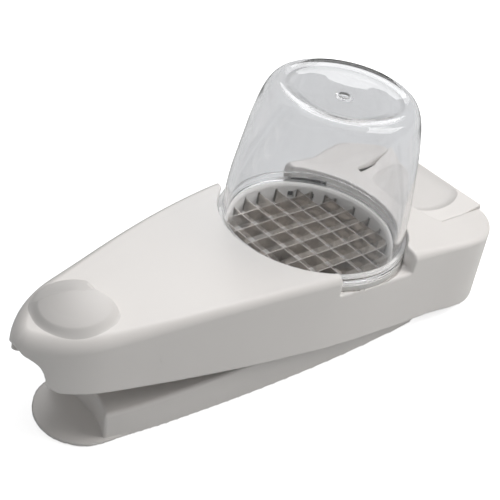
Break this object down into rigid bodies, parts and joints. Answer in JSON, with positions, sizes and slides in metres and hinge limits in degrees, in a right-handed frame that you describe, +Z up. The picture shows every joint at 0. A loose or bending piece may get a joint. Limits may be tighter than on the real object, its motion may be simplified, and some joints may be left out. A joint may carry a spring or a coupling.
{
  "type": "french fry cutter",
  "caption": "Tabletop lever cutter: a hinged lever carries a round blade cassette under a clear cup, over a pegged base.",
  "frame": {"origin": "on the resting surface, straight below the centre of the blade ring when the lever is shut", "axes": "+X from the nose to the hinge, +Y across, +Z up"},
  "size_m": [0.2432, 0.095, 0.1177],
  "materials": {
    "shell_plastic": "off-white satin moulded plastic",
    "base_plastic": "off-white satin moulded plastic",
    "inner_plastic": "off-white moulded plastic, inner parts",
    "cup_plastic": "clear moulded plastic",
    "blade_steel": "bright rolled strip",
    "hardware_steel": "plain steel",
    "bush_plastic": "dark bearing plastic",
    "grip_rubber": "matte rubber"
  },
  "bodies": {
    "base": {"base_housing": "base_plastic", "bottom_cover": "base_plastic", "bottom_cover_screws": "hardware_steel", "nose_grip_pad": "grip_rubber", "centre_grip_pad": "grip_rubber", "heel_grip_pad": "grip_rubber", "pusher_block": "inner_plastic", "pusher_screws": "hardware_steel", "hinge_pin": "hardware_steel", "pin_clips": "hardware_steel", "return_spring": "hardware_steel"},
    "lever": {"arm_shell": "shell_plastic", "arm_frame": "inner_plastic", "arm_frame_screws": "hardware_steel", "thumb_pad": "shell_plastic", "hinge_bushes": "bush_plastic"},
    "cassette": {"cassette_ring": "inner_plastic", "cassette_clamp_ring": "inner_plastic", "cassette_screws": "hardware_steel", "long_blade_1": "blade_steel", "long_blade_2": "blade_steel", "long_blade_3": "blade_steel", "long_blade_4": "blade_steel", "long_blade_5": "blade_steel", "long_blade_6": "blade_steel", "long_blade_7": "blade_steel", "cross_blade_1": "blade_steel", "cross_blade_2": "blade_steel", "cross_blade_3": "blade_steel", "cross_blade_4": "blade_steel", "cross_blade_5": "blade_steel", "cross_blade_6": "blade_steel", "cross_blade_7": "blade_steel"},
    "cup": {"cup": "cup_plastic"}
  },
  "joints": [
    {"name": "lever_hinge", "type": "hinge", "parent": "base", "child": "lever", "pos_m": [0.076, 0, 0.0183], "axis": [0, 1, 0], "range_deg": [-7, 48], "stiffness_Nm_per_rad": 8, "springref_deg": 1.15, "deforming": ["return_spring"]},
    {"name": "cassette_lift", "type": "slide", "parent": "lever", "child": "cassette", "axis": [0.1219, 0, 0.9925], "range_m": [0, 0.04]},
    {"name": "cup_lift", "type": "slide", "parent": "cassette", "child": "cup", "axis": [0.1219, 0, 0.9925], "range_m": [0, 0.08]}
  ]
}
